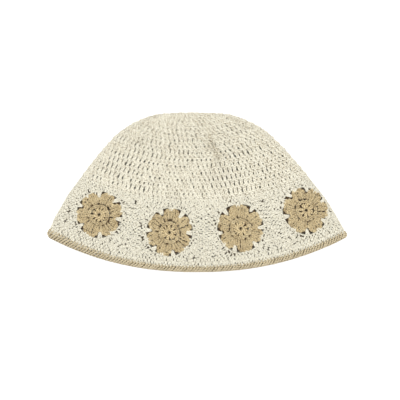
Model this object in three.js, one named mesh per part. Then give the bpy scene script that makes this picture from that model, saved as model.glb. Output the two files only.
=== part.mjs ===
// A crocheted bucket hat lying on its side, in millimetres.
// +X runs to the right along the brim, +Y from brim to crown, and +Z up from the surface it lies on.
// The crown, eight squares, eight flowers, the brim round and the edging are separate pieces.
import * as THREE from "three";

// The crocheted wall
const WALL = 3.2;
const EDGING_THICKNESS = 5.2;
const SEAM_GAP = 0.5;

// Lengths down the side fold, measured from the centre of the crown
const CROWN_FOOT = 155;
const FLOWER_LINE = 188;
const SQUARE_FOOT = 221;
const BRIM_FOOT = 229;
const BRIM_EDGE = 236;

// How the hat lies
const HAT_LENGTH = 182.9;
const SAG_POWER = 2.2;
const PRESS_EASE = 5;
const SQUARE_COUNT = 8;
const SEAM_SHIFT = 7.5;

// Flowers
const PETALS = 6;
const EYE_RADIUS = 7;
const EYE_LIFT = 1;
const ROSETTE_RADIUS = 12.6;
const ROSETTE_LIFT = 1.4;
const PETAL_ROOT_RADIUS = 13.8;

// Each flower's notches between petals, in degrees round from the right, and its shift to the right and up
const FLOWERS = [
  { notches: [5, 56, 110, 177, 230, 291], right: -2, up: -0.5 },
  { notches: [0, 59, 118, 180, 229, 286], right: 1, up: -4.2 },
  { notches: [-5, 49, 125, 184, 248, 306], right: 2, up: -2 },
  { notches: [8, 64, 117, 175, 253, 309], right: 0, up: -1.6 },
  { notches: [0, 60, 120, 180, 240, 300], right: 0, up: 0 },
  { notches: [-4, 56, 116, 176, 236, 296], right: 1, up: 0 },
  { notches: [3, 63, 123, 183, 243, 303], right: -1, up: 1 },
  { notches: [-12, 48, 108, 168, 228, 288], right: 0, up: 0 },
];

// One petal, at even steps from the notch on one side of it round to the next notch.
// The opening is the hole in the square. It meets the petal at the notch and in the middle,
// and leaves a gap at each of the petal's round corners.
const PETAL_OUTLINE = [
  { petal: 18, opening: 19 },
  { petal: 23, opening: 26.6 },
  { petal: 25.7, opening: 27.4 },
  { petal: 25.3, opening: 26.1 },
  { petal: 25.7, opening: 27.4 },
  { petal: 23, opening: 26.6 },
];

// A table's rows as records with named columns
function table(columns, rows) {
  return rows.map((row) => Object.fromEntries(columns.map((column, index) => [column, row[index]])));
}

// Sections round the hat, from the crown's centre to the brim's edge.
// slant: length down the side fold. half: half the width between the folds. lean: shift of the middle.
// The down columns are lengths from the crown's top edge, at the folds, the front and the back.
// foldUp is the fold's height, frontRise and backDrop what the front and back add to it and take off.
// squareness: 2 is an ellipse, and more makes the folds blunter.
const SECTION_COLUMNS = [
  "slant", "half", "lean", "foldDown", "frontDown", "backDown",
  "foldUp", "frontRise", "backDrop", "squareness",
];
const SECTIONS = table(SECTION_COLUMNS, [
  [0, 0, -5, 1.6, 1.6, 1.6, 24, 0, 0, 2],
  [23, 23, -5, 2, 5.5, 5, 24, 13.5, 13, 2],
  [47, 46.8, -5, 5, 15.5, 14, 23.5, 21, 24, 2.1],
  [80, 77, -4.8, 18.5, 36, 33, 21, 26, 30, 2.3],
  [108, 98, -4.2, 37, 58.5, 53, 18, 28.5, 28, 2.5],
  [155, 128.4, -3, 73, 99, 92, 14, 27, 24, 2.7],
  [189, 149.2, -2, 100.5, 134.5, 127, 11.5, 21.5, 21, 2.9],
  [222, 166, -1, 129.8, 168.5, 161, 10, 14, 19, 3],
  [236, 171, 0, 143.6, 182.9, 175.5, 9.5, 10, 18.5, 3],
]);
// Columns that grow evenly outwards from the crown's centre. The others start level there.
const GROWING = ["half", "frontRise", "backDrop"];

// Dents in the front of the crown, each a groove between two points
const DENTS = [
  { x1: 5, down1: 15, x2: 21, down2: 54, width: 10, depth: 4 },
  { x1: -40, down1: 50, x2: -30, down2: 75, width: 16, depth: 1.5 },
];

const cream = new THREE.MeshStandardMaterial({ color: 0xe2dcc9, roughness: 0.95, metalness: 0 });
const tan = new THREE.MeshStandardMaterial({ color: 0xba9f75, roughness: 0.95, metalness: 0 });

// Steepness of a column at a row of the section table
function columnSlope(column, row) {
  const here = SECTIONS[row];
  if (row === 0) {
    const next = SECTIONS[1];
    return GROWING.includes(column) ? next[column] / next.slant : 0;
  }
  const before = SECTIONS[row - 1];
  const after = SECTIONS[row + 1] ?? here;
  return (after[column] - before[column]) / (after.slant - before.slant);
}

// A column's value at any slant, on a smooth curve through the table's rows
function columnAt(column, slant) {
  const last = SECTIONS.length - 2;
  const found = SECTIONS.findIndex((row) => row.slant > slant) - 1;
  const row = found < 0 ? last : found;
  const start = SECTIONS[row];
  const end = SECTIONS[row + 1];
  const span = end.slant - start.slant;
  const t = (slant - start.slant) / span;
  const startSlope = columnSlope(column, row) * span;
  const endSlope = columnSlope(column, row + 1) * span;
  const rise = end[column] - start[column];
  const bend = 3 * rise - 2 * startSlope - endSlope;
  const twist = startSlope + endSlope - 2 * rise;
  return start[column] + t * (startSlope + t * (bend + t * twist));
}

// Depth of the dents at a place on the front
function dentAt(x, down) {
  let depth = 0;
  for (const dent of DENTS) {
    const runX = dent.x2 - dent.x1;
    const runDown = dent.down2 - dent.down1;
    const share = ((x - dent.x1) * runX + (down - dent.down1) * runDown) / (runX ** 2 + runDown ** 2);
    const near = THREE.MathUtils.clamp(share, 0, 1);
    const away = Math.hypot(x - dent.x1 - near * runX, down - dent.down1 - near * runDown);
    depth += dent.depth * Math.exp(-((away / dent.width) ** 2));
  }
  return depth;
}

// Height of the wall over where it lies flat: what would sink is pressed flat, with a soft bend at its edge
function pressed(height) {
  if (height > PRESS_EASE) return height;
  return Math.max(height + PRESS_EASE, 0) ** 2 / (4 * PRESS_EASE);
}

// A point in the middle of the wall. phi runs from the right fold over the front to the left fold.
function wallPoint(slant, phi) {
  const power = 2 / columnAt("squareness", slant);
  const across = Math.sign(Math.cos(phi)) * Math.abs(Math.cos(phi)) ** power;
  const rise = Math.abs(Math.sin(phi)) ** power;
  const isFront = Math.sin(phi) >= 0;
  const foldDown = columnAt("foldDown", slant);
  const middleDown = columnAt(isFront ? "frontDown" : "backDown", slant);
  const sag = 1 - Math.abs(across) ** SAG_POWER;
  const x = columnAt("lean", slant) + columnAt("half", slant) * across;
  const down = foldDown + sag * (middleDown - foldDown);
  const height = isFront ? columnAt("frontRise", slant) : -columnAt("backDrop", slant);
  const dent = isFront ? dentAt(x, down) * rise : 0;
  const z = columnAt("foldUp", slant) + height * rise - dent;
  return new THREE.Vector3(x, HAT_LENGTH / 2 - down, WALL / 2 + pressed(z - WALL / 2));
}

// The direction out of the wall at a point
function wallNormal(slant, phi) {
  if (slant === 0) return new THREE.Vector3(0, 1, 0);
  const phiStep = 0.004;
  const slantStep = 0.2;
  const round = wallPoint(slant, phi + phiStep).sub(wallPoint(slant, phi - phiStep));
  const along = wallPoint(slant + slantStep, phi).sub(wallPoint(slant - slantStep, phi));
  return round.cross(along).normalize();
}

// A point lifted off the middle of the wall. What would sink below the surface is pressed flat on it.
function liftedPoint(slant, phi, lift) {
  const point = wallPoint(slant, phi).addScaledVector(wallNormal(slant, phi), lift);
  point.z = Math.max(point.z, 0);
  return point;
}

// Lengths round the hat at one slant, from the right fold, at even steps of phi
const RING_STEPS = 240;
const rings = new Map();
function ringAt(slant) {
  const known = rings.get(slant);
  if (known) return known;
  const lengths = [0];
  let before = wallPoint(slant, 0);
  for (let step = 1; step <= RING_STEPS; step++) {
    const here = wallPoint(slant, (step / RING_STEPS) * 2 * Math.PI);
    lengths.push(lengths[step - 1] + here.distanceTo(before));
    before = here;
  }
  rings.set(slant, lengths);
  return lengths;
}

function ringLength(slant) {
  return ringAt(slant)[RING_STEPS];
}

// The phi at a share of the way round, which may be below 0 or above 1
function phiAtShare(slant, share) {
  const lengths = ringAt(slant);
  const wanted = (share - Math.floor(share)) * lengths[RING_STEPS];
  const step = lengths.findIndex((length) => length > wanted) - 1;
  const part = (wanted - lengths[step]) / (lengths[step + 1] - lengths[step]);
  return ((step + part) / RING_STEPS) * 2 * Math.PI;
}

// A closed solid from its points and the faces between rows of point numbers
class Solid {
  positions = [];
  faces = [];

  point(place) {
    this.positions.push(place.x, place.y, place.z);
    return this.positions.length / 3 - 1;
  }

  row(places) {
    return places.map((place) => this.point(place));
  }

  // A strip of faces between two closed rows
  strip(first, second) {
    first.forEach((corner, index) => {
      const next = (index + 1) % first.length;
      this.faces.push(corner, first[next], second[next]);
      this.faces.push(corner, second[next], second[index]);
    });
  }

  // Faces from a closed row to one point
  fan(row, tip) {
    row.forEach((corner, index) => {
      this.faces.push(corner, row[(index + 1) % row.length], tip);
    });
  }

  mesh(name, material) {
    const geometry = new THREE.BufferGeometry();
    geometry.setAttribute("position", new THREE.Float32BufferAttribute(this.positions, 3));
    geometry.setIndex(this.faces);
    geometry.computeVertexNormals();
    const mesh = new THREE.Mesh(geometry, material.clone());
    mesh.name = name;
    return mesh;
  }
}

// A row of points right round the hat
function roundRow(slant, count, lift) {
  const places = [];
  for (let index = 0; index < count; index++) {
    places.push(liftedPoint(slant, (index / count) * 2 * Math.PI, lift));
  }
  return places;
}

// The crown: a dome with one wall, closed at its centre and open at its foot
const CROWN_SIDES = 56;
const CROWN_ROWS = [8, 16, 27, 40, 54, 70, 86, 104, 121, 138, CROWN_FOOT - SEAM_GAP / 2];
function makeCrown() {
  const solid = new Solid();
  const outerTip = solid.point(liftedPoint(0, 0, WALL / 2));
  const innerTip = solid.point(liftedPoint(0, 0, -WALL / 2));
  const outer = CROWN_ROWS.map((slant) => solid.row(roundRow(slant, CROWN_SIDES, WALL / 2)));
  const inner = CROWN_ROWS.map((slant) => solid.row(roundRow(slant, CROWN_SIDES, -WALL / 2)));
  const foot = CROWN_ROWS.length - 1;
  solid.fan([...outer[0]].reverse(), outerTip);
  solid.fan(inner[0], innerTip);
  for (let row = 0; row < foot; row++) {
    solid.strip(outer[row], outer[row + 1]);
    solid.strip(inner[row + 1], inner[row]);
  }
  solid.strip(outer[foot], inner[foot]);
  return solid.mesh("crown", cream);
}

// Where a square's own flat drawing lies on the hat. right and up are lengths from the flower's centre.
function onSquare(spot, right, up) {
  const slant = FLOWER_LINE - spot.up - up;
  return { slant, share: spot.middleShare - (spot.right + right) / ringLength(slant) };
}

function liftedOnSquare(place, lift) {
  return liftedPoint(place.slant, phiAtShare(place.slant, place.share), lift);
}

// Points round a flower from a column of the petal outline, with even angles between one notch and the next
const ROUND_POINTS = PETALS * PETAL_OUTLINE.length;
function rosette(spot, radiusAt) {
  const places = [];
  spot.notches.forEach((start, petal) => {
    const end = spot.notches[petal + 1] ?? spot.notches[0] + 360;
    PETAL_OUTLINE.forEach((row, step) => {
      const angle = THREE.MathUtils.degToRad(THREE.MathUtils.lerp(start, end, step / PETAL_OUTLINE.length));
      const radius = radiusAt(row);
      places.push(onSquare(spot, radius * Math.cos(angle), radius * Math.sin(angle)));
    });
  });
  return places;
}

// How many points a flower is turned round from a flower with its first notch to the right
function turnedPoints(spot) {
  const turns = spot.notches.map((notch, petal) => notch - (petal * 360) / PETALS);
  const mean = turns.reduce((sum, turn) => sum + turn, 0) / PETALS;
  return Math.round((mean / 360) * ROUND_POINTS);
}

// Points round a square's four edges, in step with the points round its flower
const CORNER_STEP = 4;
function squareEdge(middleShare) {
  const top = CROWN_FOOT + SEAM_GAP / 2;
  const foot = SQUARE_FOOT - SEAM_GAP / 2;
  const places = [];
  for (let index = 0; index < ROUND_POINTS; index++) {
    const half = ROUND_POINTS / 2;
    const side = ((index + CORNER_STEP) % half) - CORNER_STEP;
    const isSecond = (index + CORNER_STEP) % ROUND_POINTS >= half;
    const sign = isSecond ? -1 : 1;
    const onUpright = side <= CORNER_STEP;
    const rise = onUpright ? side / CORNER_STEP : 1;
    const run = onUpright ? 1 : 1 - (2 * (side - CORNER_STEP)) / (half - 2 * CORNER_STEP);
    const slant = (top + foot) / 2 - (sign * rise * (foot - top)) / 2;
    const halfShare = 0.5 / SQUARE_COUNT - SEAM_GAP / 2 / ringLength(slant);
    places.push({ slant, share: middleShare - sign * run * halfShare });
  }
  return places;
}

// A place part of the way between two
function between(start, end, part) {
  return {
    slant: THREE.MathUtils.lerp(start.slant, end.slant, part),
    share: THREE.MathUtils.lerp(start.share, end.share, part),
  };
}

// A square: a plate in the hat's wall with a flower-shaped opening
function makeSquare(name, spot, layers) {
  const solid = new Solid();
  const opening = rosette(spot, (row) => row.opening);
  const edge = squareEdge(spot.middleShare);
  const first = turnedPoints(spot) + ROUND_POINTS;
  const outer = [];
  const inner = [];
  for (let layer = 0; layer <= layers; layer++) {
    const places = opening.map((place, index) => {
      const facing = edge[(index + first) % ROUND_POINTS];
      return between(place, facing, layer / layers);
    });
    outer.push(solid.row(places.map((place) => liftedOnSquare(place, WALL / 2))));
    inner.push(solid.row(places.map((place) => liftedOnSquare(place, -WALL / 2))));
  }
  for (let layer = 0; layer < layers; layer++) {
    solid.strip(outer[layer + 1], outer[layer]);
    solid.strip(inner[layer], inner[layer + 1]);
  }
  solid.strip(outer[0], inner[0]);
  solid.strip(inner[layers], outer[layers]);
  return solid.mesh(name, cream);
}

// A flower: a raised eye and rosette, and six petals level with the square
function makeFlower(name, spot) {
  const solid = new Solid();
  const level = WALL / 2;
  const circle = (radius) => rosette(spot, () => radius);
  const lifted = (places, lift) => solid.row(places.map((place) => liftedOnSquare(place, lift)));
  const petals = rosette(spot, (row) => row.petal);
  const middle = onSquare(spot, 0, 0);
  const eye = lifted(circle(EYE_RADIUS), level + EYE_LIFT);
  const rim = lifted(circle(ROSETTE_RADIUS), level + ROSETTE_LIFT);
  const root = lifted(circle(PETAL_ROOT_RADIUS), level);
  const tip = lifted(petals, level);
  const tipBack = lifted(petals, -level);
  const rootBack = lifted(circle(PETAL_ROOT_RADIUS), -level);
  solid.fan(eye, solid.point(liftedOnSquare(middle, level + EYE_LIFT)));
  solid.strip(rim, eye);
  solid.strip(root, rim);
  solid.strip(tip, root);
  solid.strip(tipBack, tip);
  solid.strip(rootBack, tipBack);
  solid.fan([...rootBack].reverse(), solid.point(liftedOnSquare(middle, -level)));
  return solid.mesh(name, tan);
}

// A band right round the hat, from its section's corners, each a slant and a lift off the wall
const BAND_SIDES = 56;
function makeBand(name, corners, material) {
  const solid = new Solid();
  const rows = corners.map((corner) => solid.row(roundRow(corner.slant, BAND_SIDES, corner.lift)));
  rows.forEach((row, index) => {
    solid.strip(row, rows[(index + 1) % rows.length]);
  });
  return solid.mesh(name, material);
}

function makeBrimRound() {
  const top = SQUARE_FOOT + SEAM_GAP / 2;
  const foot = BRIM_FOOT - SEAM_GAP / 2;
  const corners = [
    { slant: top, lift: WALL / 2 },
    { slant: foot, lift: WALL / 2 },
    { slant: foot, lift: -WALL / 2 },
    { slant: top, lift: -WALL / 2 },
  ];
  return makeBand("brim_round", corners, cream);
}

const EDGING_CORNERS = 8;
function makeEdging() {
  const top = BRIM_FOOT + SEAM_GAP / 2;
  const middle = (top + BRIM_EDGE) / 2;
  const corners = [];
  for (let index = 0; index < EDGING_CORNERS; index++) {
    const angle = (index / EDGING_CORNERS) * 2 * Math.PI;
    corners.push({
      slant: middle - ((BRIM_EDGE - top) / 2) * Math.cos(angle),
      lift: (EDGING_THICKNESS / 2) * Math.sin(angle),
    });
  }
  return makeBand("edging", corners, tan);
}

// The squares run from left to right over the front and on round the back.
// Those that bend round a side fold have more layers of faces.
const LAYERS = [3, 2, 2, 4, 3, 2, 2, 4];
const hat = new THREE.Group();
hat.name = "bucket_hat";
hat.add(makeCrown());
const firstSeam = 0.5 - SEAM_SHIFT / ringLength(FLOWER_LINE);
FLOWERS.forEach((flower, index) => {
  const spot = { ...flower, middleShare: firstSeam - (index + 0.5) / SQUARE_COUNT };
  hat.add(makeSquare(`square_${index + 1}`, spot, LAYERS[index]));
  hat.add(makeFlower(`flower_${index + 1}`, spot));
});
hat.add(makeBrimRound());
hat.add(makeEdging());

export default hat;
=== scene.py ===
"""A crocheted bucket hat lying on its side, worked stitch by stitch in cotton yarn.

The wall of the hat is a smooth surface, the same one as in the part. Every stitch is a few strands of yarn,
given once as a short table of points, laid along the rounds of the hat and swept to round yarn.
Lengths are in millimetres until a mesh is made.
"""
import math
from types import SimpleNamespace

import bpy
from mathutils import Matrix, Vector
import numpy as np


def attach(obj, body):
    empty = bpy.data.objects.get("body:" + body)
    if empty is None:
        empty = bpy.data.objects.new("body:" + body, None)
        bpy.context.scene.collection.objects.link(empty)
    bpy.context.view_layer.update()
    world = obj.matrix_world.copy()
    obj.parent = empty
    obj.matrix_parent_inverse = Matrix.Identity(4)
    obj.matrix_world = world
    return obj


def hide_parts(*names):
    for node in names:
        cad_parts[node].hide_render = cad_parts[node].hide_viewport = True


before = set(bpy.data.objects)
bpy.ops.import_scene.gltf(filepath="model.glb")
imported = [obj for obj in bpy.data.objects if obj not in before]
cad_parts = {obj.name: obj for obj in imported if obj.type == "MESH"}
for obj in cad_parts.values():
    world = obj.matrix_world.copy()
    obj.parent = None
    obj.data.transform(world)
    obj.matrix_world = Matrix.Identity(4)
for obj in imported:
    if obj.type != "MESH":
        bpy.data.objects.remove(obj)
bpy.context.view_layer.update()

MM = 0.001
FULL_TURN = 2 * math.pi
# The smallest length that anything is divided by
TINY = 1e-9
rng = np.random.default_rng(seed=7)

# The hat's wall, as in the part
WALL = 3.2
HAT_LENGTH = 182.9
SAG_POWER = 2.2  # how the rounds sag between the folds
PRESS_EASE = 5  # how softly the back is pressed flat

# Places down the hat, as slants: lengths down the side fold from the crown's centre
CROWN_FOOT = 155
FLOWER_LINE = 188
SQUARE_FOOT = 221
BRIM_FOOT = 229
BRIM_EDGE = 236

# Places round the hat
LEFT_FOLD = 0.5  # as a share of the way round
SQUARE_COUNT = 8
SEAM_SHIFT = 7.5  # from the left fold to the first seam

# Sections round the hat: the length down the side fold, half the width, the shift of the middle,
# the lengths down from the crown's top edge at the folds, front and back, the height of the folds,
# what the front adds to it, what the back takes off, and how blunt the folds are
SECTION_COLUMNS = (
    "slant", "half", "lean", "fold_down", "front_down", "back_down",
    "fold_up", "front_rise", "back_drop", "squareness",
)
SECTIONS = np.array([
    (0, 0, -5, 1.6, 1.6, 1.6, 24, 0, 0, 2),
    (23, 23, -5, 2, 5.5, 5, 24, 13.5, 13, 2),
    (47, 46.8, -5, 5, 15.5, 14, 23.5, 21, 24, 2.1),
    (80, 77, -4.8, 18.5, 36, 33, 21, 26, 30, 2.3),
    (108, 98, -4.2, 37, 58.5, 53, 18, 28.5, 28, 2.5),
    (155, 128.4, -3, 73, 99, 92, 14, 27, 24, 2.7),
    (189, 149.2, -2, 100.5, 134.5, 127, 11.5, 21.5, 21, 2.9),
    (222, 166, -1, 129.8, 168.5, 161, 10, 14, 19, 3),
    (236, 171, 0, 143.6, 182.9, 175.5, 9.5, 10, 18.5, 3),
])
# Columns that grow from nothing at the crown's centre
GROWING = ("half", "front_rise", "back_drop")

# Dents in the front of the crown: from x and down, to x and down, width and depth.
# The narrow one, a crease in the yarn at the bottom of the first, is in this scene only.
DENTS = (
    (5, 15, 21, 54, 10, 4),
    (7, 8, 24, 53, 3.2, 3.2),
    (-40, 50, -30, 75, 16, 1.5),
)
# Painted shade along the crease, most of all in its lower half, where it would lie in its own shade.
# The columns are the same, with a change of tone in place of the depth.
PAINTED_CREASE = ((13, 28, 23, 50, 4.2, -1.25),)

# Each flower's notches between petals, in degrees round from the right, and its shift to the right and up
FLOWERS = (
    ((5, 56, 110, 177, 230, 291), -2, -0.5),
    ((0, 59, 118, 180, 229, 286), 1, -4.2),
    ((-5, 49, 125, 184, 248, 306), 2, -2),
    ((8, 64, 117, 175, 253, 309), 0, -1.6),
    ((0, 60, 120, 180, 240, 300), 0, 0),
    ((-4, 56, 116, 176, 236, 296), 1, 0),
    ((3, 63, 123, 183, 243, 303), -1, 1),
    ((-12, 48, 108, 168, 228, 288), 0, 0),
)


def section_at(slants):
    """The section columns at each slant, on smooth curves through the table's rows."""
    rows = SECTIONS[:, 0]
    slopes = np.empty_like(SECTIONS)
    slopes[1:-1] = (SECTIONS[2:] - SECTIONS[:-2]) / (rows[2:] - rows[:-2])[:, None]
    slopes[-1] = (SECTIONS[-1] - SECTIONS[-2]) / (rows[-1] - rows[-2])
    slopes[0] = 0
    for column in GROWING:
        place = SECTION_COLUMNS.index(column)
        slopes[0, place] = SECTIONS[1, place] / rows[1]
    row = np.clip(np.searchsorted(rows, slants, side="right") - 1, 0, len(rows) - 2)
    span = (rows[row + 1] - rows[row])[:, None]
    part = (slants - rows[row])[:, None] / span
    rise = SECTIONS[row + 1] - SECTIONS[row]
    start = slopes[row] * span
    end = slopes[row + 1] * span
    bend = 3 * rise - 2 * start - end + part * (start + end - 2 * rise)
    values = SECTIONS[row] + part * (start + part * bend)
    return SimpleNamespace(**{name: values[:, i:i + 1] for i, name in enumerate(SECTION_COLUMNS)})


def soft_lines(x, down, lines):
    """Strength of soft lines at places on the front of the crown, greatest along the middle of each."""
    strength = np.zeros_like(x)
    for x1, down1, x2, down2, width, most in lines:
        run_x = x2 - x1
        run_down = down2 - down1
        share = ((x - x1) * run_x + (down - down1) * run_down) / (run_x ** 2 + run_down ** 2)
        near = np.clip(share, 0, 1)
        away = np.hypot(x - x1 - near * run_x, down - down1 - near * run_down)
        strength += most * np.exp(-((away / width) ** 2))
    return strength


def unit(vectors):
    """The same directions with a length of one."""
    return vectors / np.maximum(np.linalg.norm(vectors, axis=-1, keepdims=True), TINY)


# The grid that the wall is worked out on
SLANT_STEP = 0.5
PAST_BRIM = 6  # slant past the brim's edge
SHARE_STEPS = 1600
SECTION_ANGLES = 1441  # round a section, before its steps are made even
WAY_STEPS = 4  # to either side of a place, for the way round there


def wall_grid():
    """The middle of the wall, its outward directions and the length of each ring, on an even grid.

    The grid is of slants by shares of the way round. A share runs from the right fold over the front
    to the left fold, and back underneath.
    """
    slants = np.arange(0, BRIM_EDGE + PAST_BRIM, SLANT_STEP)
    at = section_at(slants)
    angle = np.linspace(0, FULL_TURN, SECTION_ANGLES)[None, :]
    power = 2 / at.squareness
    across = np.sign(np.cos(angle)) * np.abs(np.cos(angle)) ** power
    rise = np.abs(np.sin(angle)) ** power
    front = np.sin(angle) >= 0
    sag = 1 - np.abs(across) ** SAG_POWER
    x = at.lean + at.half * across
    down = at.fold_down + sag * (np.where(front, at.front_down, at.back_down) - at.fold_down)
    height = np.where(front, at.front_rise, -at.back_drop) * rise
    height = at.fold_up + height - np.where(front, soft_lines(x, down, DENTS) * rise, 0) - WALL / 2
    soft = np.maximum(height + PRESS_EASE, 0) ** 2 / (4 * PRESS_EASE)
    z = WALL / 2 + np.where(height > PRESS_EASE, height, soft)
    raw = np.stack((x, HAT_LENGTH / 2 - down, z), axis=-1)
    steps = np.linalg.norm(np.diff(raw, axis=1), axis=-1)
    lengths = np.concatenate((np.zeros((len(slants), 1)), np.cumsum(steps, axis=1)), axis=1)
    shares = np.arange(SHARE_STEPS) / SHARE_STEPS
    grid = np.empty((len(slants), SHARE_STEPS, 3))
    for row in range(len(slants)):
        wanted = shares * lengths[row, -1]
        for axis in range(3):
            grid[row, :, axis] = np.interp(wanted, lengths[row], raw[row, :, axis])
    round_way = np.roll(grid, -WAY_STEPS, axis=1) - np.roll(grid, WAY_STEPS, axis=1)
    down_way = np.gradient(grid, axis=0)
    out = np.cross(round_way, down_way)
    out[0] = (0, 1, 0)
    return grid, unit(out), lengths[:, -1]


GRID, GRID_OUT, RING_LENGTHS = wall_grid()
# Just short of the grid's last row
LAST_ROW = len(GRID) - 1.001


def ring_length(slant):
    """Length once round the hat at a slant."""
    return np.interp(np.asarray(slant, float) / SLANT_STEP, np.arange(len(RING_LENGTHS)), RING_LENGTHS)


def on_wall(share, slant, lift):
    """Places lifted off the middle of the wall, and the outward directions there."""
    row = np.clip(np.asarray(slant, float) / SLANT_STEP, 0, LAST_ROW)
    column = np.mod(np.asarray(share, float), 1) * SHARE_STEPS
    row_low = row.astype(int)
    column_low = column.astype(int) % SHARE_STEPS
    column_high = (column_low + 1) % SHARE_STEPS
    row_part = (row - row_low)[..., None]
    column_part = (column - np.floor(column))[..., None]

    def between(values):
        low, high = (
            values[at, column_low] * (1 - column_part) + values[at, column_high] * column_part
            for at in (row_low, row_low + 1)
        )
        return low * (1 - row_part) + high * row_part

    out = unit(between(GRID_OUT))
    return between(GRID) + out * np.asarray(lift)[..., None], out


def on_ring(shares, slant):
    """Places round the hat at one slant, in the middle of the wall, and the outward directions there."""
    return on_wall(shares, np.full(len(shares), slant), np.zeros(len(shares)))


FIRST_SEAM = LEFT_FOLD - SEAM_SHIFT / ring_length(FLOWER_LINE)


def on_square(index, right, up, lift):
    """Places in a square, measured to the right and up from its flower's centre."""
    _, shift_right, shift_up = FLOWERS[index]
    slant = FLOWER_LINE - shift_up - up
    middle = FIRST_SEAM - (index + 0.5) / SQUARE_COUNT
    return on_wall(middle - (shift_right + right) / ring_length(slant), slant, lift)


def smooth(points, steps):
    """A strand's points from its table, on a smooth curve through them."""
    points = np.asarray(points, float)
    ends = np.concatenate((2 * points[:1] - points[1:2], points, 2 * points[-1:] - points[-2:-1]))
    along = np.linspace(0, len(points) - 1, steps)
    low = np.minimum(along.astype(int), len(points) - 2)
    part = (along - low)[:, None]
    before, start, end, after = (ends[low + shift] for shift in range(4))
    bend = 2 * before - 5 * start + 4 * end - after + part * (3 * (start - end) + after - before)
    return start + 0.5 * part * (end - before + part * bend)


# A strand of yarn
SIDES = 5
END_SHARE = 0.6  # of the thickness, left at an end
PLY_TWIST = 2.6  # along the yarn, from one ply to the next
# Yarn that lies deeper than the start, out from the middle of the wall, gets painted shade for each
# millimetre, as crevices between strands would lie in shadow. Between the deepest place and the inside of the
# hat, this fades out.
DEPTH_START = 0.15
DEPTH_SHADE = 5.2
DEEPEST = -1.5
INSIDE = -2.2


class Work:
    """The yarn of one piece, gathered strand by strand and then made one mesh."""

    def __init__(self, depth_shade=DEPTH_SHADE):
        self.depth_shade = depth_shade
        self.places = []
        self.faces = []
        self.caps = []
        self.yarn_uv = []
        self.tones = []
        self.count = 0

    def yarn(self, places, out, thickness, tones, lifts, closed=False, shade=0):
        """Adds strands of yarn. places and out are strands by steps by 3, tones and lifts strands by steps.

        shade is painted shade: a darker tone for yarn that is seen only in the gaps between stitches. It
        shows only on the outside of the hat.
        """
        strands, steps, _ = places.shape
        if closed:
            along = unit(np.roll(places, -1, axis=1) - np.roll(places, 1, axis=1))
        else:
            along = unit(np.gradient(places, axis=1))
        side = unit(np.cross(along, out))
        up = np.cross(side, along)
        radius = np.repeat(np.asarray(thickness)[:, None] / 2, steps, axis=1)
        if not closed:
            radius[:, [0, -1]] *= END_SHARE
        turn = FULL_TURN / 4 + np.arange(SIDES) * FULL_TURN / SIDES
        ring = side[:, :, None] * np.cos(turn)[:, None] + up[:, :, None] * np.sin(turn)[:, None]
        skin = places[:, :, None] + ring * radius[:, :, None, None]
        skin[..., 2] = np.maximum(skin[..., 2], 0)
        self.places.append(skin.reshape(-1, 3))
        facing = np.sum(up * out, axis=-1) * radius
        depth = np.broadcast_to(lifts, (strands, steps))[..., None] + facing[..., None] * np.sin(turn)
        strand_tones = np.broadcast_to(tones, (strands, steps))[..., None]
        outside = np.clip((depth - INSIDE) / (DEEPEST - INSIDE), 0, 1)
        # painted shade in the crevices: the deeper the yarn lies, the darker it is
        crevice_shade = self.depth_shade * np.minimum(depth - DEPTH_START, 0)
        self.tones.append((strand_tones + outside * (shade + crevice_shade)).ravel())
        self.join(strands, steps, closed)
        self.wind(places, closed)

    def join(self, strands, steps, closed):
        """Joins the points of swept strands to faces, and caps open ends."""
        numbers = self.count + np.arange(strands * steps * SIDES).reshape(strands, steps, SIDES)
        after = np.roll(numbers, -1, axis=2)
        ahead = np.roll(numbers, -1, axis=1)
        ahead_after = np.roll(after, -1, axis=1)
        quads = np.stack((numbers, after, ahead_after, ahead), axis=-1)
        if not closed:
            quads = quads[:, :-1]
            self.caps.append(numbers[:, 0, ::-1])
            self.caps.append(numbers[:, -1])
        self.faces.append(quads.reshape(-1, 4))
        self.count += strands * steps * SIDES

    def wind(self, places, closed):
        """Maps each face by its length along the yarn and its share of the way round, for the plies."""
        strands, steps, _ = places.shape
        last = steps if closed else steps - 1
        lengths = np.linalg.norm(np.diff(places, axis=1, append=places[:, :1]), axis=-1)
        run = np.concatenate((np.zeros((strands, 1)), np.cumsum(lengths, axis=1)), axis=1)
        run += rng.uniform(0, PLY_TWIST, (strands, 1))
        start = np.repeat(run[:, :last, None], SIDES, axis=2)
        end = np.repeat(run[:, 1:last + 1, None], SIDES, axis=2)
        low = np.broadcast_to(np.arange(SIDES) / SIDES, start.shape)
        high = low + 1 / SIDES
        corners = ((start, low), (start, high), (end, high), (end, low))
        uv = np.stack([np.stack(corner, axis=-1) for corner in corners], axis=-2)
        self.yarn_uv.append(uv.reshape(-1, 2))

    def finish(self, name, node, material):
        """Makes the mesh, which stands for a node of the part."""
        quads = np.concatenate(self.faces)
        caps = np.concatenate(self.caps)
        mesh = bpy.data.meshes.new(name)
        mesh.from_pydata(np.concatenate(self.places) * MM, [], quads.tolist() + caps.tolist())
        uv = np.concatenate(self.yarn_uv + [np.zeros((caps.size, 2))])
        layer = mesh.uv_layers.new(name="yarn")
        layer.data.foreach_set("uv", uv.astype(np.float32).ravel())
        # each point's own random tone, with the painted shade added to it
        tone_and_shade = mesh.attributes.new("tone_and_shade", "FLOAT", "POINT")
        tone_and_shade.data.foreach_set("value", np.concatenate(self.tones).astype(np.float32))
        mesh.polygons.foreach_set("use_smooth", np.ones(len(mesh.polygons), bool))
        mesh.materials.append(material)
        mesh.update()
        piece = bpy.data.objects.new(name, mesh)
        bpy.context.collection.objects.link(piece)
        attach(piece, "root")
        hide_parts(node)


CREAM_YARN = 2.0
TAN_YARN = 1.95

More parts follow.
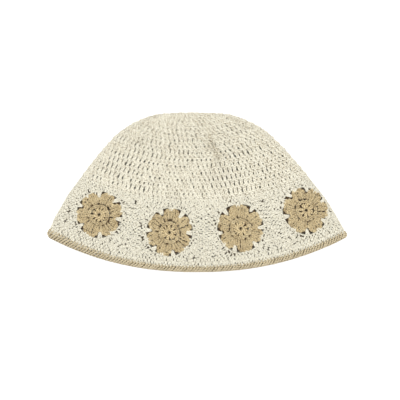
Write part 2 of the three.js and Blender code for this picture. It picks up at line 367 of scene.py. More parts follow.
# Stitches. Each strand has its number of steps and its points: to the right, down the hat and off the wall.
TALL_WIDTH = 5.2
TALL_HEIGHT = 9.1
TALL_STITCH = (
    (6, ((0.1, -0.9, -0.9), (0.05, 1.2, 0.5), (-0.2, 3.9, 0.75), (-0.8, 6.4, 0.5), (-1.1, 8.2, -0.8))),
    (6, ((1.8, -0.9, -0.9), (1.8, 1.2, 0.5), (1.7, 3.9, 0.75), (1.8, 6.4, 0.5), (1.9, 8.2, -0.8))),
    (5, ((-1.4, 6.3, 0.1), (-0.2, 5.9, 1.5), (1.4, 5.4, 1.5), (2.8, 5.3, 1.0), (3.8, 5.5, -0.3))),
    (5, ((0.4, 8.3, -1.3), (1.2, 7.7, 0.7), (2.6, 7.3, 1.3), (4.0, 7.7, 0.7), (4.8, 8.4, -1.3))),
    (5, ((0.4, 8.6, -1.3), (1.3, 9.6, 0.5), (2.6, 10.0, 0.8), (3.9, 9.6, 0.5), (4.8, 8.6, -1.3))),
)
# A second wrap that crosses to the next stitch and shortens the slits of the upper rounds
TALL_WRAP = ((5, ((-1.2, 2.4, 0.0), (-0.1, 2.0, 1.4), (1.2, 1.5, 1.4), (2.5, 1.2, 0.9), (3.4, 1.0, -0.3))),)
# A strand behind a slit
TALL_BACK = ((4, ((-1.3, 6.1, -1.8), (0.0, 5.7, -1.5), (1.6, 5.5, -1.5), (2.9, 5.2, -1.8))),)

SHORT_WIDTH = 3.9
SHORT_HEIGHT = 3.2
SHORT_YARN = 1.8
SHORT_STITCH = (
    (5, ((-0.6, -0.6, -0.7), (-0.7, 0.6, 0.65), (-0.8, 1.7, 0.8), (-0.85, 2.9, -0.5))),
    (5, ((0.6, -0.6, -0.7), (0.7, 0.6, 0.65), (0.8, 1.7, 0.8), (0.85, 2.9, -0.5))),
    (5, ((0.3, 3.0, -1.0), (1.0, 2.9, 0.5), (1.95, 2.85, 0.9), (2.9, 2.9, 0.5), (3.6, 3.0, -1.0))),
    (5, ((0.3, 3.3, -1.0), (1.0, 3.55, 0.4), (1.95, 3.6, 0.65), (2.9, 3.55, 0.4), (3.6, 3.3, -1.0))),
)

# Spreads of the small differences between stitches
RIGHT_SPREAD = 0.18
DOWN_SPREAD = 0.2
LIFT_SPREAD = 0.14
THICKNESS_SPREAD = 0.04  # as a share
TONE_SPREAD = 0.6
SWAY_SPREAD = 0.26  # of the middle of a strand, aside


def crease_painted_shade(places, out):
    """Painted shade along the crease of the crown."""
    return soft_lines(places[..., 0], HAT_LENGTH / 2 - places[..., 1], PAINTED_CREASE) * (out[..., 2] > 0)


def stitches(work, strands, thickness, lay, numbers, loose=1, painted_shade=0):
    """Works the same stitch at every number of a round, with the small differences of hand work."""
    count = len(numbers)
    right = loose * rng.normal(0, RIGHT_SPREAD, (count, 1))
    down = loose * rng.normal(0, DOWN_SPREAD, (count, 1))
    lift = loose * rng.normal(0, LIFT_SPREAD, (count, 1))
    thick = thickness * rng.normal(1, THICKNESS_SPREAD, count)
    # the painted shade of the round, with each stitch's own random tone
    tone_and_shade = painted_shade + rng.uniform(-TONE_SPREAD, TONE_SPREAD, (count, 1))
    for steps, points in strands:
        points = smooth(points, steps)
        arch = np.sin(np.linspace(0, FULL_TURN / 2, steps))
        sway = loose * rng.normal(0, SWAY_SPREAD, (count, 1)) * arch
        lifts = points[:, 2] + lift
        places, out = lay(numbers, points[:, 0] + right + sway, points[:, 1] + down, lifts)
        work.yarn(places, out, thick, tone_and_shade + crease_painted_shade(places, out), lifts)


# Yarn stays this far from the crown's centre
CENTRE_GAP = 0.8


def round_lay(top, height, nominal, count, start):
    """Lays stitches once round the hat, from a slant downwards. nominal is their height in their table."""
    width = float(ring_length(top + height / 2)) / count

    def lay(numbers, right, down, lift):
        slant = np.maximum(top + down * height / nominal, CENTRE_GAP)
        share = start - (numbers[:, None] + 0.5 + right / width) / count
        return on_wall(share, slant, lift)

    return lay


# The strand of a seam, and how far it goes to either side and out, step by step
SEAM_YARN = 1.9
SEAM_LIFT = -0.9
SEAM_STEP = 1.3
SEAM_SPREAD = 0.2  # of its steps aside, as a share
SEAM_SIDE = (-1.3, 0.3, 1.3, -0.3)
SEAM_OUT = (-0.5, 0.7, -0.5, -0.9)


def seam(work, start, end):
    """A strand that crosses to and fro over a seam, from one share and slant to another."""
    start_share, start_slant = start
    end_share, end_slant = end
    length = abs(end_slant - start_slant) + abs(end_share - start_share) * float(ring_length(start_slant))
    steps = np.arange(round(length / SEAM_STEP) + 1)
    along = steps / steps[-1]
    side = np.resize(SEAM_SIDE, len(steps)) * rng.normal(1, SEAM_SPREAD, len(steps))
    lift = SEAM_LIFT + np.resize(SEAM_OUT, len(steps))
    shares = start_share + along * (end_share - start_share)
    slants = start_slant + along * (end_slant - start_slant)
    if start_slant == end_slant:
        slants = slants + side
    else:
        shares = shares + side / ring_length(slants)
    places, out = on_wall(shares, slants, lift)
    work.yarn(places[None], out[None], [SEAM_YARN], 0, lift)


# The crown
CROWN_ROUNDS = 17
CROWN_GAP = 0.4  # left above the squares
WRAPPED_ROUNDS = 11  # with a second wrap
TOP_ROUNDS = 11  # in the first of its two pieces
FEWEST_STITCHES = 8
COUNTED_AT = 0.6  # share of the way down a round where its stitches are counted
ROUND_SHIFT = 0.13  # share of the way round by which each round starts after the last
# Its yarn, and the painted shade that darkens its tone against the lamp overhead, which lights it more than
# the squares, at the centre and at the foot
TOP_YARN = 2.27
FOOT_YARN = 2.4
TOP_PAINTED_SHADE = -1.15
FOOT_PAINTED_SHADE = -0.55
WRAP_YARN = 1.7
TALL_BACK_YARN = 2.4
# Slits with nothing behind them
LAST_BACKED_ROUND = 12  # has none yet
OPENING_ROUNDS = 4  # over which their share grows to the most
MOST_OPEN = 0.08


def crown(name, first, last):
    """Rounds of tall stitches, worked outwards from the crown's centre, with more gaps open lower down."""
    work = Work()
    height = (CROWN_FOOT - CROWN_GAP) / CROWN_ROUNDS
    for number in range(first, last):
        top = number * height
        count = round(float(ring_length(top + COUNTED_AT * height)) / TALL_WIDTH)
        numbers = np.arange(max(FEWEST_STITCHES, count))
        lay = round_lay(top, height, TALL_HEIGHT, len(numbers), ROUND_SHIFT * number)
        thickness = TOP_YARN + (FOOT_YARN - TOP_YARN) * number / CROWN_ROUNDS
        painted_shade = TOP_PAINTED_SHADE + (FOOT_PAINTED_SHADE - TOP_PAINTED_SHADE) * number / CROWN_ROUNDS
        stitches(work, TALL_STITCH, thickness, lay, numbers, painted_shade=painted_shade)
        if number < WRAPPED_ROUNDS:
            stitches(work, TALL_WRAP, WRAP_YARN, lay, numbers, painted_shade=painted_shade)
        open_share = MOST_OPEN * min(max((number - LAST_BACKED_ROUND) / OPENING_ROUNDS, 0), 1)
        backed = np.flatnonzero(rng.random(len(numbers)) > open_share)
        stitches(work, TALL_BACK, TALL_BACK_YARN, lay, backed + 0.5)
    if last == CROWN_ROUNDS:
        seam(work, (0, CROWN_FOOT), (1, CROWN_FOOT))
    work.finish(name, "crown", cream_cotton)


BRIM_YARN = 1.1 * SHORT_YARN


def brim_round():
    """Two rounds of short stitches below the squares."""
    work = Work()
    middle = (SQUARE_FOOT + BRIM_FOOT) / 2
    for top in (SQUARE_FOOT, middle):
        count = round(float(ring_length(top)) / SHORT_WIDTH)
        lay = round_lay(top, middle - SQUARE_FOOT, SHORT_HEIGHT, count, top)
        stitches(work, SHORT_STITCH, BRIM_YARN, lay, np.arange(count))
    seam(work, (0, SQUARE_FOOT), (1, SQUARE_FOOT))
    work.finish("brim_round_stitches", "brim_round", cream_cotton)


# The strands of the edging
EDGING_WIDTH = 3.5  # along the brim, for each
EDGING_HEIGHT = 7.0
EDGING_YARN = 2.15
EDGING_LOOSE = 0.8
EDGING_WRAP = (
    (12, ((2.7, -1.0, 0.7), (1.9, 1.0, 2.1), (0.0, 3.4, 2.5), (-1.9, 5.5, 1.7), (-2.7, 6.7, 0.0),
          (-1.7, 5.3, -1.9), (0.2, 3.2, -2.4), (2.1, 0.6, -1.3))),
)
EDGING_REACH = 2.6  # further up, at the left fold
REACH_SHARE = 0.1  # of the way round, over which that fades
EDGING_INSET = 0.9  # inside the brim's edge
LEAN_PLACES = 401  # along the brim, where the lean of the wall is measured
LEAN_REACH = 0.002  # share of the way round, to either side of such a place
# The brim's edge that the strands of the edging wrap
EDGE_YARN = 3.0
EDGE_SLANTS = (231.0, 234.2)
EDGE_STEPS = 300
# painted shade on that edge, which shows in the gaps between the edging's strands
EDGE_PAINTED_SHADE = -4


def edging():
    """The tan round along the brim: slanting strands that wrap it like a rope, broader at the left fold."""
    work = Work()
    length = float(ring_length(BRIM_EDGE))
    count = round(length / EDGING_WIDTH)
    around = np.linspace(0, 1, LEAN_PLACES)
    ahead = on_ring(around + LEAN_REACH, BRIM_EDGE)[0] - on_ring(around - LEAN_REACH, BRIM_EDGE)[0]
    down_way = on_ring(around, BRIM_EDGE)[0] - on_ring(around, BRIM_FOOT)[0]
    lean = np.sum(unit(ahead) * down_way, axis=-1) / (BRIM_EDGE - BRIM_FOOT)

    def lay(numbers, right, down, lift):
        share = 1 - (numbers[:, None] + 0.5 + right / EDGING_WIDTH) / count
        part = down / EDGING_HEIGHT
        reach = EDGING_REACH * np.exp(-((share - LEFT_FOLD) / REACH_SHARE) ** 2)
        slant = BRIM_FOOT - reach * (1 - part) + part * (BRIM_EDGE - EDGING_INSET - BRIM_FOOT)
        return on_wall(share - np.interp(share, around, lean) * (slant - BRIM_FOOT) / length, slant, lift)

    stitches(work, EDGING_WRAP, EDGING_YARN, lay, np.arange(count), loose=EDGING_LOOSE)
    for slant in EDGE_SLANTS:
        places, out = on_ring(np.arange(EDGE_STEPS) / EDGE_STEPS, slant)
        work.yarn(places[None], out[None], [EDGE_YARN], 0, 0, closed=True, shade=EDGE_PAINTED_SHADE)
    work.finish("edging_stitches", "edging", edging_cotton)


# Stitches that are laid outwards round a flower
RAY_LENGTH = 10  # as in their tables
RAY_SPREAD = 0.06  # of their angles, in radians


def ray_lay(index, angles_in, angles_out, inner, outer):
    """Lays stitches outwards round a flower, each from an inner to an outer angle and radius."""

    def lay(numbers, right, down, lift):
        part = down / RAY_LENGTH
        radius = inner[numbers, None] + part * (outer - inner)[numbers, None]
        middle = (inner + outer)[numbers, None] / 2
        angle = angles_in[numbers, None] + part * (angles_out - angles_in)[numbers, None] - right / middle
        return on_square(index, radius * np.cos(angle), radius * np.sin(angle), lift)

    return lay


# The backs of the stitches of squares and flowers, which close the wall behind
BACK_LIFT = -1.7
BACK_YARN = 3.2


def strand_round(work, index, angles, radius, lift, thickness, shade=0):
    """A closed strand round a flower's centre."""
    lifts = np.broadcast_to(lift, angles.shape)
    places, out = on_square(index, radius * np.cos(angles), radius * np.sin(angles), lifts)
    work.yarn(places[None], out[None], [thickness], 0, lifts, closed=True, shade=shade)


# Half the width of a square, what that grows by from top to foot, and by each millimetre
SQUARE_HALF = ring_length(FLOWER_LINE) / (2 * SQUARE_COUNT)
SQUARE_GROWTH = (ring_length(SQUARE_FOOT) - ring_length(CROWN_FOOT)) / (2 * SQUARE_COUNT)
SQUARE_FLARE = SQUARE_GROWTH / (SQUARE_FOOT - CROWN_FOOT)
# A ray that nears an edge less steeply than this doesn't meet it
LEAST_SLOPE = 0.02
FAR_AWAY = 999


def to_edge(index, angle, margin):
    """Length from a flower's centre to a line at some margin inside the edge of its square, at each angle."""
    _, right, up = FLOWERS[index]
    cos = np.cos(angle)
    sin = np.sin(angle)
    half = SQUARE_HALF - SQUARE_FLARE * up - margin
    runs = (
        (half - right, cos + SQUARE_FLARE * sin),
        (half + right, -cos + SQUARE_FLARE * sin),
        (FLOWER_LINE - CROWN_FOOT - up - margin, sin),
        (SQUARE_FOOT - FLOWER_LINE + up - margin, -sin),
    )
    lengths = [
        np.where(slope > LEAST_SLOPE, run / np.maximum(slope, LEAST_SLOPE), FAR_AWAY)
        for run, slope in runs
    ]
    return np.min(lengths, axis=0)


def petal_spans(index):
    """The notch on either side of each petal, in radians."""
    notches = np.radians(FLOWERS[index][0])
    return np.stack((notches, np.append(notches[1:], notches[0] + FULL_TURN)), axis=1)


# Radius of a petal's edge and of the cream round it, at even steps from one notch to the next
PETAL_EDGE = (16.2, 20.2, 22.8, 24.2, 24.6, 24.3, 23.8, 24.3, 24.6, 24.2, 22.8, 20.2, 16.2)
SURROUND = (27.4, 27.5, 27.5, 27.3, 26.9, 26.5, 26.4, 26.5, 26.9, 27.3, 27.5, 27.5, 27.4)
PETAL_PARTS = np.linspace(0, 1, len(PETAL_EDGE))

# The stitches of a square
SQUARE_MARGIN = 0.8
SQUARE_LOOSE = 1.15
# painted shade on the strands behind a square's stitches, which shows where they are seen through the gaps
SQUARE_PAINTED_SHADE = -7
# painted shade in the crevices of a square, for each millimetre of depth
SQUARE_DEPTH_SHADE = 7
ANGLE_STEPS = 720  # round the flower
RING_STEP = 5  # of those, from point to point of the strand round the opening
BACK_STEP = 6  # and of the strands behind the stitches
WAVE_OUT = 0.5  # how far in and out the strand round the opening goes
WAVES = 38
# Where the backs of the stitches run, as shares of the way from the opening to the square's edge
SQUARE_BACKS = (0.1, 0.28, 0.46, 0.64, 0.82)
# Places where a square is left open: its number less one, to the right and up from its flower's centre
OPEN_PLACES = (
    (0, -33, -23), (0, -34, -8.5), (0, 33, 22.5),
    (1, -36, -27), (1, -31, 2), (1, -29, -12), (1, 34, -27),
    (2, 28, 25), (2, -29, -27.5),
    (3, -24.5, -28.5),
    (4, 33, -26), (5, -34, 25), (6, 33, -26), (7, -33, 24),
)
OPEN_RADIUS = 1.85

# Spikes: the range of their tips' radius and the radius of their feet, in the notches and amid the petals
SPIKE = (
    (5, ((-0.6, 0.0, 0.0), (-0.9, 3.0, 1.1), (-1.3, 6.0, 1.2), (-1.9, 10.0, -0.1))),
    (5, ((0.6, 0.0, 0.0), (0.9, 3.0, 1.1), (1.3, 6.0, 1.2), (1.9, 10.0, -0.1))),
    (4, ((0.0, 0.6, -0.2), (0.0, 3.5, 0.5), (0.0, 6.5, 0.6), (0.0, 10.0, -0.3))),
)
SPIKE_YARN = 2.2
NOTCH_TIPS = (17, 21.5)
NOTCH_FOOT = SURROUND[0] + 0.6
PETAL_TIPS = (22.6, 24.6)
PETAL_FOOT = SURROUND[len(SURROUND) // 2] + 1.0


def surround(index, angles):
    """Radius of the cream round a flower at each angle."""
    radius = np.empty_like(angles)
    for start, end in petal_spans(index):
        part = np.mod(angles - start, FULL_TURN) / (end - start)
        inside = part <= 1
        radius[inside] = np.interp(part[inside], PETAL_PARTS, SURROUND)
    return radius


def row_lay(index, angles, even, inner, outer):
    """Lays short stitches in a round of a square, whose inner and outer radius are given at even angles."""

    def lay(numbers, right, down, lift):
        middle = np.interp(angles[numbers, None], even, (inner + outer) / 2)
        angle = angles[numbers, None] - right / middle
        low = np.interp(np.mod(angle, FULL_TURN), even, inner)
        high = np.interp(np.mod(angle, FULL_TURN), even, outer)
        radius = low + down / SHORT_HEIGHT * (high - low)
        return on_square(index, radius * np.cos(angle), radius * np.sin(angle), lift)

    return lay


def left_open(index, angles, radius):
    """Which places in a square, by angle and radius from its flower's centre, are left open."""
    opened = np.zeros(len(angles), bool)
    for owner, right, up in OPEN_PLACES:
        if owner == index:
            opened |= np.hypot(radius * np.cos(angles) - right, radius * np.sin(angles) - up) < OPEN_RADIUS
    return opened


def square_rounds(work, index, even, ring, edge):
    """Rounds of short stitches, from a square's edge in to the ring round its flower.

    Fewer of them fit where it is narrow.
    """
    rounds = np.maximum(np.round((edge - ring) / SHORT_HEIGHT), 1)
    height = (edge - ring) / rounds
    for number in range(int(rounds.max())):
        outer = edge - number * height
        inner = outer - height
        middle = (inner + outer) / 2
        run = np.concatenate(([0], np.cumsum(middle[1:] * np.diff(even))))
        count = round(run[-1] / SHORT_WIDTH)
        angles = np.interp((np.arange(count) + rng.random()) * run[-1] / count, run, even)
        fits = np.interp(angles, even, rounds) > number + 0.5
        kept = np.flatnonzero(fits & ~left_open(index, angles, np.interp(angles, even, middle)))
        lay = row_lay(index, angles, even, inner, outer)
        stitches(work, SHORT_STITCH, SHORT_YARN, lay, kept, loose=SQUARE_LOOSE)


def spikes(work, index, angles, tip_range, foot):
    """Cream stitches that reach in over the edge of the flower, each leaning a little."""
    count = len(angles)
    tips = rng.uniform(*tip_range, count)
    lean = rng.normal(0, RAY_SPREAD, count)
    lay = ray_lay(index, angles + lean, angles, tips, np.full(count, foot))
    stitches(work, SPIKE, SPIKE_YARN, lay, np.arange(count))


def square(index):
    """The cream round a flower: rounds from the square's edges in, and spikes worked into the petals."""
    work = Work(SQUARE_DEPTH_SHADE)
    even = np.linspace(0, FULL_TURN, ANGLE_STEPS + 1)
    ring = surround(index, even)
    edge = to_edge(index, even, SQUARE_MARGIN)
    angles = even[:-1:RING_STEP]
    strand_round(work, index, angles, ring[:-1:RING_STEP], WAVE_OUT * np.sin(WAVES * angles), CREAM_YARN)
    for part in SQUARE_BACKS:
        radius = (ring + part * (edge - ring))[:-1:BACK_STEP]
        strand_round(work, index, even[:-1:BACK_STEP], radius, BACK_LIFT, BACK_YARN, SQUARE_PAINTED_SHADE)
    square_rounds(work, index, even, ring, edge)
    right_edge = FIRST_SEAM - (index + 1) / SQUARE_COUNT
    seam(work, (right_edge, CROWN_FOOT), (right_edge, SQUARE_FOOT))
    spans = petal_spans(index)
    spikes(work, index, spans[:, 0], NOTCH_TIPS, NOTCH_FOOT)
    spikes(work, index, spans.mean(axis=1), PETAL_TIPS, PETAL_FOOT)
    work.finish(f"square_{index + 1}_stitches", f"square_{index + 1}", cream_cotton)


# A link of chain: along it in shares of its length, then to its right, and out
CHAIN_LINK = (
    ((-0.55, 0.2, -0.8), (-0.2, 0.85, 0.7), (0.2, 0.8, 0.9), (0.55, -0.1, -0.7)),
    ((-0.55, -0.1, -0.8), (-0.2, -0.8, 0.7), (0.2, -0.85, 0.8), (0.55, 0.1, -0.7)),
)
LINK_STEPS = 5
FEWEST_LINKS = 2
LINK_TONE_SPREAD = 1
LINK_REACH = 0.2  # to either side of a place, for the way along there


def chain(work, index, angles, radius, length, lift, broad):
    """A chain of links of some length, lift and breadth, along a curve round a flower's centre."""
    x = radius * np.cos(angles)
    y = radius * np.sin(angles)
    run = np.concatenate(([0], np.cumsum(np.hypot(np.diff(x), np.diff(y)))))
    count = max(FEWEST_LINKS, round(run[-1] / length))
    tones = rng.normal(0, LINK_TONE_SPREAD, (count, 1))
    for link in CHAIN_LINK:
        points = smooth(link, LINK_STEPS)
        along = (np.arange(count)[:, None] + 0.5 + points[None, :, 0]) * run[-1] / count
        ahead_x, ahead_y = (
            np.interp(along + LINK_REACH, run, way) - np.interp(along - LINK_REACH, run, way)
            for way in (x, y)
        )
        size = np.maximum(np.hypot(ahead_x, ahead_y), TINY)
        side = broad * points[None, :, 1]
        right = np.interp(along, run, x) + side * ahead_y / size
        up = np.interp(along, run, y) - side * ahead_x / size
        lifts = points[:, 2] + lift
        places, out = on_square(index, right, up, lifts[None])
        work.yarn(places, out, np.full(count, TAN_YARN), tones, lifts)


# A flower
FLOWER_BACKS = (4, 7.2, 13.4, 16.6, 20.4, 24.0)  # radius of each strand behind it
FLOWER_BACK_STEPS = 56
# painted shade on the strands behind a flower, which shows in the gaps between its posts and petals
FLOWER_PAINTED_SHADE = -5
# painted shade in the crevices of a flower, for each millimetre of depth
FLOWER_DEPTH_SHADE = 8.6

# The eye
EYE_STRAND = ((6, ((0, 0, -0.6), (0.1, 2.5, 0.9), (-0.1, 6, 1.2), (0, 9, 0.7), (0, 10, -0.8))),)
EYE_STRANDS = 16
EYE_YARN = 2.5
EYE_HOLE = 1.6  # radius of the hole in the middle
EYE_REACH = (7.6, 9.6)  # least and greatest radius of its edge

# The raised ring
RING_RADIUS = 10.2
RING_WAVES = ((2, 0.5), (3, 0.4))  # how many waves go round it, and their height
RING_PHASES = 6  # radians by which they may be turned
RING_CHAIN = (4.4, 0.9, 1.25)  # length, lift and breadth of its links
CIRCLE_STEPS = 180

# A petal
PETAL_POST = (
    (6, ((-0.45, 0, -0.6), (-0.6, 2.5, 0.55), (-0.75, 5, 0.8), (-0.8, 8, 0.7), (-0.7, 10, -0.2))),
    (6, ((0.45, 0, -0.6), (0.6, 2.5, 0.55), (0.75, 5, 0.8), (0.8, 8, 0.7), (0.7, 10, -0.2))),
    (4, ((-2.3, 7.6, -0.2), (-0.6, 6.4, 1.5), (0.6, 5.5, 1.5), (2.3, 4.5, -0.2))),
    (4, ((-2.1, 3.9, -0.2), (-0.5, 3.1, 1.4), (0.5, 2.5, 1.4), (2.1, 1.7, -0.2))),
)
POST_ANGLE = 11.5  # degrees for each
POST_YARN = 1.75
POST_LOOSE = 1.4
POST_STARTS = (0.2, 0.6, 1.4, 2.6)  # outside the raised ring
PETAL_CHAIN = (4.0, 0.4, 1)  # length, lift and breadth of its links
PETAL_STEPS = 61
TIP_INSET = 0.08  # radians by which the posts draw in from the notches at their tips
CHAIN_INSET = 0.05  # radians from a notch to the end of the chain


def eye(work, index):
    """Strands that fan out from the flower's centre."""
    angles = np.arange(EYE_STRANDS) * FULL_TURN / EYE_STRANDS + rng.normal(0, RAY_SPREAD, EYE_STRANDS)
    outer = rng.uniform(*EYE_REACH, EYE_STRANDS)
    lay = ray_lay(index, angles, angles, np.full(EYE_STRANDS, EYE_HOLE), outer)
    stitches(work, EYE_STRAND, EYE_YARN, lay, np.arange(EYE_STRANDS))


def petal(work, index, start, end, circle, ring):
    """Posts that fan out between two notches, from the raised ring, and a chain along the edge."""
    width = end - start
    count = round(math.degrees(width) / POST_ANGLE)
    part = (np.arange(count) + 0.5) / count
    root = start + part * width
    tip = start + TIP_INSET + part * (width - 2 * TIP_INSET)
    inner = np.interp(np.mod(root, FULL_TURN), circle, ring) + rng.choice(POST_STARTS, count)
    lay = ray_lay(index, root, tip, inner, np.interp(part, PETAL_PARTS, PETAL_EDGE))
    stitches(work, PETAL_POST, POST_YARN, lay, np.arange(count), loose=POST_LOOSE)
    along = np.linspace(0, 1, PETAL_STEPS)
    angles = start + CHAIN_INSET + along * (width - 2 * CHAIN_INSET)
    chain(work, index, angles, np.interp(along, PETAL_PARTS, PETAL_EDGE), *PETAL_CHAIN)


def flower(index):
    """A tan flower: a flat eye, a raised ring round it and six petals."""
    work = Work(FLOWER_DEPTH_SHADE)
    sweep = np.linspace(0, FULL_TURN, FLOWER_BACK_STEPS + 1)[:-1]
    for radius in FLOWER_BACKS:
        strand_round(work, index, sweep, radius, BACK_LIFT, BACK_YARN, FLOWER_PAINTED_SHADE)
    eye(work, index)
    circle = np.linspace(0, FULL_TURN, CIRCLE_STEPS + 1)
    ring = np.full(len(circle), RING_RADIUS)
    for (waves, height), phase in zip(RING_WAVES, rng.uniform(0, RING_PHASES, len(RING_WAVES))):
        ring += height * np.sin(waves * circle + phase)
    chain(work, index, circle, ring, *RING_CHAIN)
    for start, end in petal_spans(index):
        petal(work, index, start, end, circle, ring)
    work.finish(f"flower_{index + 1}_stitches", f"flower_{index + 1}", tan_cotton)


def linear(hex_colour):
    """An sRGB hex colour as linear RGBA."""
    parts = [int(hex_colour[i:i + 2], 16) / 255 for i in (1, 3, 5)]
    return [part / 12.92 if part <= 0.04045 else ((part + 0.055) / 1.055) ** 2.4 for part in parts] + [1]


def node(tree, kind, settings=(), values=(), links=()):
    """Adds a node with its settings, the values of its inputs, and links into it."""
    made = tree.nodes.new(kind)
    for name, value in dict(settings).items():
        setattr(made, name, value)
    for name, value in dict(values).items():
        made.inputs[name].default_value = value
    for name, source in dict(links).items():
        tree.links.new(source, made.inputs[name])
    return made


# Cotton yarn
PLIES = 3
PLY_DEPTH = 0.35  # of the grooves between the plies
FLECK = 2.5  # size of the patches in its dye, coarser than in real yarn so that they show
BASE_TONE = 0.32
FLECK_TONE = 0.4  # what the patches change in the tone
TONE_STEP = 0.09  # what a strand's own tone changes, for each step
# painted shade in the grooves between the plies and painted highlight on their crests
PLY_GROOVE_SHADE = 0.3  # what the plies change
# a gap and depth take painted shade colours; deep and light are the yarn's own
TONE_STOPS = (0, 0.06, 0.2, 0.75)  # tones of a gap, of depth, and of deep and light yarn


def cotton_yarn(name, light, deep, depth, hole_shade):
    """Plain plied cotton yarn: matte, with soft plies that wind round it and a slightly uneven dye, and
    painted shade in the grooves between the plies, in crevices and in gaps.
    """
    material = bpy.data.materials.new(name)
    material.use_nodes = True
    tree = material.node_tree
    tree.nodes.clear()
    uv = node(tree, "ShaderNodeUVMap", {"uv_map": "yarn"})
    parts = node(tree, "ShaderNodeSeparateXYZ", links={"Vector": uv.outputs["UV"]})
    wound = node(tree, "ShaderNodeMath", {"operation": "MULTIPLY"}, {1: 1 / PLY_TWIST},
                 {0: parts.outputs["X"]})
    round_way = node(tree, "ShaderNodeMath", {"operation": "MULTIPLY_ADD"}, {1: PLIES},
                     {0: parts.outputs["Y"], 2: wound.outputs[0]})
    turned = node(tree, "ShaderNodeMath", {"operation": "MULTIPLY"}, {1: FULL_TURN},
                  {0: round_way.outputs[0]})
    ply = node(tree, "ShaderNodeMath", {"operation": "SINE"}, links={0: turned.outputs[0]})
    place = node(tree, "ShaderNodeTexCoord")
    fleck = node(tree, "ShaderNodeTexNoise",
                 values={"Scale": 1 / (FLECK * MM), "Detail": 3, "Roughness": 0.65},
                 links={"Vector": place.outputs["Object"]})
    tone_and_shade = node(tree, "ShaderNodeAttribute", {"attribute_name": "tone_and_shade"})
    dye = node(tree, "ShaderNodeMath", {"operation": "MULTIPLY_ADD"}, {1: FLECK_TONE, 2: BASE_TONE},
               {0: fleck.outputs["Fac"]})
    shade = node(tree, "ShaderNodeMath", {"operation": "MULTIPLY_ADD"}, {1: TONE_STEP},
                 {0: tone_and_shade.outputs["Fac"], 2: dye.outputs[0]})
    ply_shade = node(tree, "ShaderNodeMath", {"operation": "MULTIPLY_ADD"}, {1: PLY_GROOVE_SHADE},
                     {0: ply.outputs[0], 2: shade.outputs[0]})
    colour = node(tree, "ShaderNodeValToRGB", links={"Fac": ply_shade.outputs[0]})
    stops = colour.color_ramp.elements
    for position in TONE_STOPS[1:-1]:
        stops.new(position)
    for stop, position, shade_of in zip(stops, TONE_STOPS, (hole_shade, depth, deep, light)):
        stop.position = position
        stop.color = linear(shade_of)
    bump = node(tree, "ShaderNodeBump", values={"Strength": 0.9, "Distance": PLY_DEPTH * MM},
                links={"Height": ply.outputs[0]})
    yarn = node(tree, "ShaderNodeBsdfPrincipled",
                values={"Roughness": 0.9, "IOR": 1.5, "Specular IOR Level": 0.25, "Sheen Weight": 0.2,
                        "Sheen Roughness": 0.6},
                links={"Base Color": colour.outputs["Color"], "Normal": bump.outputs["Normal"]})
    node(tree, "ShaderNodeOutputMaterial", links={"Surface": yarn.outputs["BSDF"]})
    return material


# Each yarn's colours: light and deep are its own; depth and gap are painted shade colours for crevices and
# for holes between stitches.
cream_cotton = cotton_yarn("cream_cotton_yarn", "#F6F2E1", "#DED7C0", "#967D52", "#4E4028")
tan_cotton = cotton_yarn("tan_cotton_yarn", "#E8D6AA", "#9E8351", "#6B4F20", "#4A3414")
edging_cotton = cotton_yarn("edging_cotton_yarn", "#E8D9B8", "#9A885E", "#66552F", "#4A3B1E")


# The floor
WHITE = "#FFFFFF"
FLOOR_SIZE = 6000
FLOOR_DROP = 0.2  # below the hat
FLOOR_GLOW = 0.32  # strength of the light from below
COVERED_DROP = 0.1
COVERED_SHARE = 0.88  # of the hat's outline
OUTLINE_STEP = 8  # of the wall's grid, from point to point of that outline


def painted_board(name, colour, glow=0):
    """Board painted in one flat colour: matte, with no pattern. It may be lit from below."""
    material = bpy.data.materials.new(name)
    material.use_nodes = True
    shader = material.node_tree.nodes["Principled BSDF"]
    shader.inputs["Base Color"].default_value = linear(colour)
    shader.inputs["Roughness"].default_value = 0.9
    shader.inputs["Emission Color"].default_value = linear(WHITE)
    shader.inputs["Emission Strength"].default_value = glow
    return material


def floor():
    """A plain white studio floor, lit from below so that hardly any shadow shows on it."""
    bpy.ops.object.select_all(action="DESELECT")
    bpy.ops.mesh.primitive_plane_add(size=FLOOR_SIZE * MM, location=(0, 0, -FLOOR_DROP * MM))
    made = bpy.context.object
    made.name = "studio_floor"
    made.data.materials.append(painted_board("studio_floor", "#F7F7F7", FLOOR_GLOW))


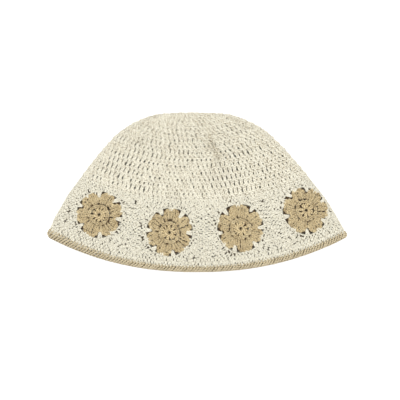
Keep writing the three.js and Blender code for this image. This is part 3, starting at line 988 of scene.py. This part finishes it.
def floor_under_hat_painted_shade():
    """The part of the floor that the hat covers: not lit from below, and a darker colour than the floor, as
    painted shade under the hat.
    """
    brim_row = int(BRIM_EDGE / SLANT_STEP)
    right = GRID[:brim_row:OUTLINE_STEP, 0]
    brim = GRID[brim_row, :SHARE_STEPS // 2 - 1:-OUTLINE_STEP]
    left = GRID[:brim_row:OUTLINE_STEP, SHARE_STEPS // 2]
    outline = np.concatenate((left, brim[::-1], right[::-1])) * MM
    middle = outline.mean(axis=0)
    outline = middle + COVERED_SHARE * (outline - middle)
    outline[:, 2] = -COVERED_DROP * MM
    mesh = bpy.data.meshes.new("floor_under_hat_painted_shade")
    mesh.from_pydata(outline.tolist(), [], [list(range(len(outline)))])
    # a darker warm grey than the white floor: painted shade where the hat shades the floor
    mesh.materials.append(painted_board("floor_under_hat_painted_shade", "#BCB19E"))
    made = bpy.data.objects.new("floor_under_hat_painted_shade", mesh)
    bpy.context.collection.objects.link(made)


# The photograph's frame: its middle and its width, at the height of the brim
VIEW_RIGHT = 3.0
VIEW_UP = -8.3
VIEW_WIDTH = 460
VIEW_HEIGHT = 15
CAMERA_DISTANCE = 2500  # above that
SENSOR = 36
CAMERA_REACH = 20000  # how far it sees


def camera():
    """Looks straight down from far away, as the photograph does."""
    data = bpy.data.cameras.new("camera")
    data.sensor_width = SENSOR
    data.lens = SENSOR * CAMERA_DISTANCE / VIEW_WIDTH
    data.clip_end = CAMERA_REACH * MM
    made = bpy.data.objects.new("camera", data)
    made.location = (VIEW_RIGHT * MM, VIEW_UP * MM, (VIEW_HEIGHT + CAMERA_DISTANCE) * MM)
    bpy.context.collection.objects.link(made)
    bpy.context.scene.camera = made


# The light
ROOM_LIGHT = 0.84
LAMP_PLACE = (0, 50, 1950)
LAMP_SIZE = 1000
LAMP_POWER = 24  # watts


def lights():
    """A bright even room, with a large soft lamp overhead."""
    world = bpy.data.worlds.new("studio")
    world.use_nodes = True
    room = world.node_tree.nodes["Background"]
    room.inputs["Color"].default_value = linear(WHITE)
    room.inputs["Strength"].default_value = ROOM_LIGHT
    bpy.context.scene.world = world
    place = Vector(LAMP_PLACE) * MM
    bpy.ops.object.select_all(action="DESELECT")
    bpy.ops.object.light_add(type="AREA", location=place)
    lamp = bpy.context.object
    lamp.data.shape = "DISK"
    lamp.data.size = LAMP_SIZE * MM
    lamp.data.energy = LAMP_POWER
    lamp.rotation_euler = place.to_track_quat("Z", "Y").to_euler()
    bpy.context.scene.view_settings.view_transform = "Standard"


floor()
floor_under_hat_painted_shade()
camera()
lights()
crown("crown_top_rounds", 0, TOP_ROUNDS)
crown("crown_side_rounds", TOP_ROUNDS, CROWN_ROUNDS)
for square_index in range(SQUARE_COUNT):
    square(square_index)
    flower(square_index)
brim_round()
edging()
